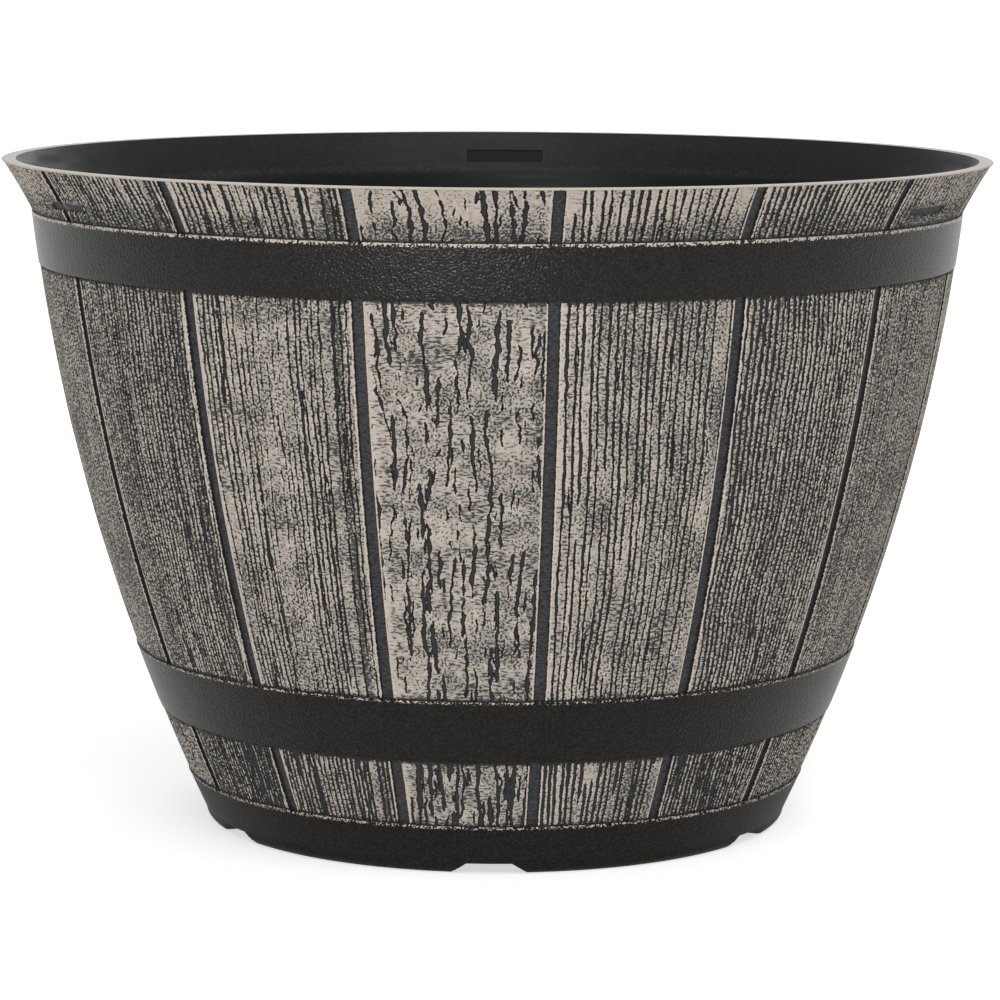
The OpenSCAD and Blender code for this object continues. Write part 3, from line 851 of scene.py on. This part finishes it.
foot_bore_r = foot_r - foot_ring_w
foot_outline = np.concatenate([
    [[foot_bore_r, 0.0], [foot_bore_r + 2, 0.0]],
    band_face(0, foot_h, foot_round, foot_round, 8, 10),
    [[wall_radius(foot_h, band_sunk), foot_h], [wall_radius(floor_top, band_sunk), floor_top],
     [foot_bore_r, floor_z + 0.6]]])
notch_edges = [math.asin(w / 2 / foot_r) for w in (notch_w, notch_top_w)]
foot_angles = np.concatenate([
    np.linspace(0, math.tau, 480, endpoint=False), by_grooves,
    *[hole_angles % math.tau + edge * way for edge in notch_edges for way in (-1, 1)]])
foot_angles = np.unique(np.round(foot_angles % math.tau, 6))
foot_points, foot_triangles = turned(foot_outline, foot_angles)
from_notch = (foot_angles[:, None] - hole_angles + math.pi) % math.tau - math.pi
sideways = np.abs(np.sin(from_notch) * foot_r)
sideways = np.where(np.cos(from_notch) > 0.5, sideways, 99).min(1)
notch_rise = notch_h * np.clip((notch_w / 2 - sideways) / ((notch_w - notch_top_w) / 2), 0, 1)
foot_points[..., 2] = np.maximum(foot_points[..., 2], notch_rise[None, :])
make_piece("foot_band", foot_points, foot_triangles, foot_resin, "hoop_resin",
           values={"rubbed": edge_rub(foot_outline, foot_angles, foot_h, foot_paint)})

# ---- Drain plugs ---------------------------------------
# Seven push-in plugs moulded in soft black polyethylene. Each has a domed flange that seals on
# the floor, a hollow stem that grips its hole, and a half-round tab to pull it out by.
flange_r, flange_t = drain_r + 4.0, 1.8
stem_r = drain_r - 0.1
stem_bore_r = stem_r - 1.8
stem_low = floor_z - boss_h - 0.8
tab_h, tab_t = 5.0, 2.4
PLUG_BLACK = srgb("#242527")
PLUG_MILKY = srgb("#303234")
PLUG_CLOUD, PLUG_GRAIN = 6, 0.3            # mm, the pitch of the flow clouds and of the grain


def soft_black_polyethylene():
    """Soft black polyethylene, injection moulded: a waxy, slightly milky black with fine flow
    clouds and a broad dull highlight."""
    material, add = new_material("soft_black_polyethylene")
    place = add("TexCoord", {}).outputs["Object"]
    cloud = add("TexNoise", {
        "Vector": place, "Scale": 1 / (PLUG_CLOUD * MM), "Detail": 3.0, "Roughness": 0.6})
    grain = add("TexNoise", {"Vector": place, "Scale": 1 / (PLUG_GRAIN * MM)})
    colour = add("Mix", {0: cloud, 6: PLUG_BLACK, 7: PLUG_MILKY}, data_type="RGBA")
    bump = add("Bump", {"Height": grain, "Strength": 0.4, "Distance": 0.03 * MM})
    surface = add("BsdfPrincipled", {
        "Base Color": colour, "Roughness": 0.42, "IOR": 1.51, "Normal": bump})
    add("OutputMaterial", {"Surface": surface})
    return material


def squared(wave):
    """A wave from -1 to 1 pushed towards its ends, which squares the circle it would draw."""
    return np.sign(wave) * np.abs(wave) ** 0.45


def drain_plug():
    """One plug about the z axis: the flange and stem are an outline turned round the axis, and
    the tab is a row of rounded-rectangle sections whose height follows a half circle."""
    flange_top = floor_top + flange_t
    outline = np.concatenate([
        [[0, floor_top - 0.6], [stem_bore_r - 0.6, floor_top - 0.6],
         [stem_bore_r, floor_top - 1.2], [stem_bore_r, stem_low + 0.4]],
        arc_points((stem_r - 0.8, stem_low + 0.8), 0.8, -90, 0, 4),
        [[stem_r, floor_top - 0.3], [stem_r - 0.25, floor_top], [flange_r - 0.4, floor_top]],
        arc_points((flange_r - 0.8, floor_top + 0.8), 0.8, -50, 70, 6),
        [[flange_r - 2.6, flange_top - 0.12], [flange_r - 3.0, flange_top - 0.38],
         [flange_r - 3.6, flange_top - 0.38], [flange_r - 4.0, flange_top - 0.06],
         [0, flange_top]]])
    turned_points, triangles = turned(outline, np.linspace(0, math.tau, 72, endpoint=False))
    body = weld(turned_points, triangles)
    x = -tab_h * np.cos(np.linspace(0.05, math.pi - 0.05, 25))[:, None]
    top = np.sqrt(tab_h ** 2 - x ** 2)
    turn = np.linspace(0, math.tau, 28, endpoint=False)
    y = tab_t / 2 * squared(np.cos(turn)) + 0 * x
    z = flange_top - 0.4 + (top + 0.4) / 2 * (1 + squared(np.sin(turn)))
    tab = swept(np.stack(np.broadcast_arrays(x, y, z), -1))
    return joined([body, tab])


plug_points, plug_triangles = drain_plug()
plug_material = soft_black_polyethylene()
plug_names = ["centre", "front", "front_right", "back_right", "back", "back_left", "front_left"]
x, y, z = plug_points.T
for number, name in enumerate(plug_names):
    turn = first_notch + math.tau * (number - 1) / hole_count if number else 0.0
    out = drain_ring_r if number else 0.0
    points = np.stack([x * math.cos(turn) - (y - out) * math.sin(turn),
                       x * math.sin(turn) + (y - out) * math.cos(turn), z], -1)
    make_piece(f"{name}_plug", points, plug_triangles, plug_material, "plug_resin",
               body=f"{name}_plug", node=f"{name}_drain_plug")

# ---- Studio --------------------------------------------
# A wide sheet of white paper under an even pale sky, as in a catalogue photograph. A soft light
# stands high in front, a smaller one low and a little to the left puts the sparkle on the hoops,
# and two more fill in from the right and from behind.
scene = bpy.context.scene
scene.view_settings.view_transform = "Standard"
paper_glow = 0.60
sky_strength = 0.36
paper_half = 60.0          # metres


def matt_white_paper():
    """Matt white paper that gives back four fifths of its light. To the camera, to gloss and to
    transmission it also glows, so that it shows white and keeps the soft shadow."""
    material, add = new_material("matt_white_paper")
    paper = add("BsdfDiffuse", {"Color": (0.8, 0.8, 0.8, 1.0)})
    ray = add("LightPath", {}).outputs
    seen = add("Math", {0: ray["Is Camera Ray"], 1: ray["Is Glossy Ray"]}, operation="MAXIMUM")
    seen = add("Math", {0: seen, 1: ray["Is Transmission Ray"]}, operation="MAXIMUM")
    strength = add("Math", {0: seen, 1: paper_glow}, operation="MULTIPLY")
    glow = add("Emission", {"Strength": strength})
    lit = add("AddShader", {0: paper, 1: glow})
    add("OutputMaterial", {"Surface": lit})
    return material


paper_corners = [(x * paper_half, y * paper_half, 0) for x, y in ((-1, -1), (1, -1), (1, 1), (-1, 1))]
paper_mesh = bpy.data.meshes.new("studio_floor")
paper_mesh.from_pydata(paper_corners, [], [(0, 1, 2, 3)])
paper_mesh.materials.append(matt_white_paper())
paper_sheet = bpy.data.objects.new("studio_floor", paper_mesh)
scene.collection.objects.link(paper_sheet)

world = bpy.data.worlds.new("pale_sky")
world.use_nodes = True
world.node_tree.nodes.clear()
sky = add_node(world, "Background", {"Color": (1.0, 1.0, 1.0, 1.0), "Strength": sky_strength})
add_node(world, "OutputWorld", {"Surface": sky})
scene.world = world

for name, azimuth, elevation, strength, spread in (
        ("key_light", 10, 52, 0.85, 40), ("low_front_light", -13, 1, 3.4, 12),
        ("right_fill_light", 82, 18, 0.40, 40), ("back_fill_light", 172, 30, 0.70, 60)):
    light = bpy.data.lights.new(name, "SUN")
    light.energy, light.angle = strength, math.radians(spread)
    light_object = bpy.data.objects.new(name, light)
    light_object.rotation_euler = (math.radians(90 - elevation), 0, math.radians(azimuth))
    scene.collection.objects.link(light_object)

# ---- Camera --------------------------------------------
# Fitted to the photograph's lip, hoops, foot and outline: 1.6 m away, a little above the rim
# and looking down by eight degrees.
camera_place = (0.0, -1.605, 0.3563)           # metres
camera_pitch, camera_roll = 8.157, 0.247       # degrees
camera_lens, camera_sensor = 145.3, 36.0       # mm
axis_px, frame_px = 496.11, 1000               # where the optical axis meets the picture's width

camera = bpy.data.objects.new("camera", bpy.data.cameras.new("camera"))
camera.data.lens, camera.data.sensor_width = camera_lens, camera_sensor
camera.data.shift_x = (frame_px / 2 - axis_px) / frame_px
camera.matrix_world = (Matrix.Translation(camera_place)
                       @ Matrix.Rotation(math.radians(90 - camera_pitch), 4, "X")
                       @ Matrix.Rotation(math.radians(camera_roll), 4, "Z"))
scene.collection.objects.link(camera)
scene.camera = camera
